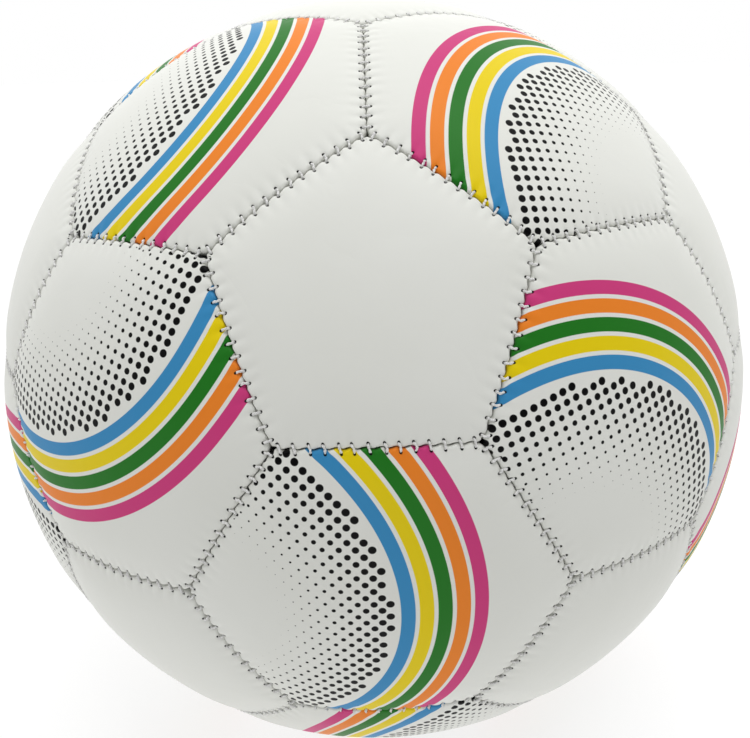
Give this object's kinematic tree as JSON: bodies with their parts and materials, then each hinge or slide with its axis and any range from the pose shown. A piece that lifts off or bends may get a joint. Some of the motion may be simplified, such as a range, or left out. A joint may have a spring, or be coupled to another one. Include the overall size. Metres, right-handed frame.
{
  "type": "soccer ball",
  "caption": "Hand-stitched soccer ball of pentagon and hexagon panels over foam, lining and an air bladder, with an inflation valve at the top.",
  "frame": {"origin": "the ball's centre", "axes": "+Z out through the inflation valve in the middle of the top pentagon; -Y towards the first of the five upper pentagons; the ball rests on the bottom pentagon at -Z"},
  "size_m": [0.2196, 0.2196, 0.2195],
  "materials": {
    "white_cover": "smooth glossy white PVC with faint creases and stitch puckers",
    "printed_cover": "glossy white PVC printed with curving green, magenta, orange, yellow and blue ribbons and black halftone dots",
    "foam": "matt closed-cell foam",
    "lining_fabric": "plain woven polyester and cotton",
    "thread": "waxed twisted polyester thread",
    "bladder_rubber": "smooth black rubber",
    "valve_rubber": "moulded black rubber"
  },
  "bodies": {
    "ball": {"bladder": "bladder_rubber", "hexagon_cover_base_1": "printed_cover", "hexagon_cover_base_2": "printed_cover", "hexagon_cover_base_3": "printed_cover", "hexagon_cover_base_4": "printed_cover", "hexagon_cover_base_5": "printed_cover", "hexagon_cover_cap_1": "printed_cover", "hexagon_cover_cap_2": "printed_cover", "hexagon_cover_cap_3": "printed_cover", "hexagon_cover_cap_4": "printed_cover", "hexagon_cover_cap_5": "printed_cover", "hexagon_cover_lower_1": "printed_cover", "hexagon_cover_lower_2": "printed_cover", "hexagon_cover_lower_3": "printed_cover", "hexagon_cover_lower_4": "printed_cover", "hexagon_cover_lower_5": "printed_cover", "hexagon_cover_upper_1": "printed_cover", "hexagon_cover_upper_2": "printed_cover", "hexagon_cover_upper_3": "printed_cover", "hexagon_cover_upper_4": "printed_cover", "hexagon_cover_upper_5": "printed_cover", "hexagon_foam_pads": "foam", "hexagon_linings": "lining_fabric", "pentagon_cover_bottom": "white_cover", "pentagon_cover_lower_1": "white_cover", "pentagon_cover_lower_2": "white_cover", "pentagon_cover_lower_3": "white_cover", "pentagon_cover_lower_4": "white_cover", "pentagon_cover_lower_5": "white_cover", "pentagon_cover_upper_1": "white_cover", "pentagon_cover_upper_2": "white_cover", "pentagon_cover_upper_3": "white_cover", "pentagon_cover_upper_4": "white_cover", "pentagon_cover_upper_5": "white_cover", "pentagon_cover_valve": "white_cover", "pentagon_foam_pads": "foam", "pentagon_linings": "lining_fabric", "seam_thread_hexagons": "thread", "seam_thread_pentagons": "thread", "valve_backing_ring": "lining_fabric", "valve_foam_pad": "foam", "valve_housing": "valve_rubber", "valve_lining": "lining_fabric"},
    "valve_core": {"valve_core": "valve_rubber"}
  },
  "joints": [
    {"name": "valve_core_pull", "type": "slide", "parent": "ball", "child": "valve_core", "axis": [0, 0, 1], "range_m": [0, 0.018]}
  ]
}
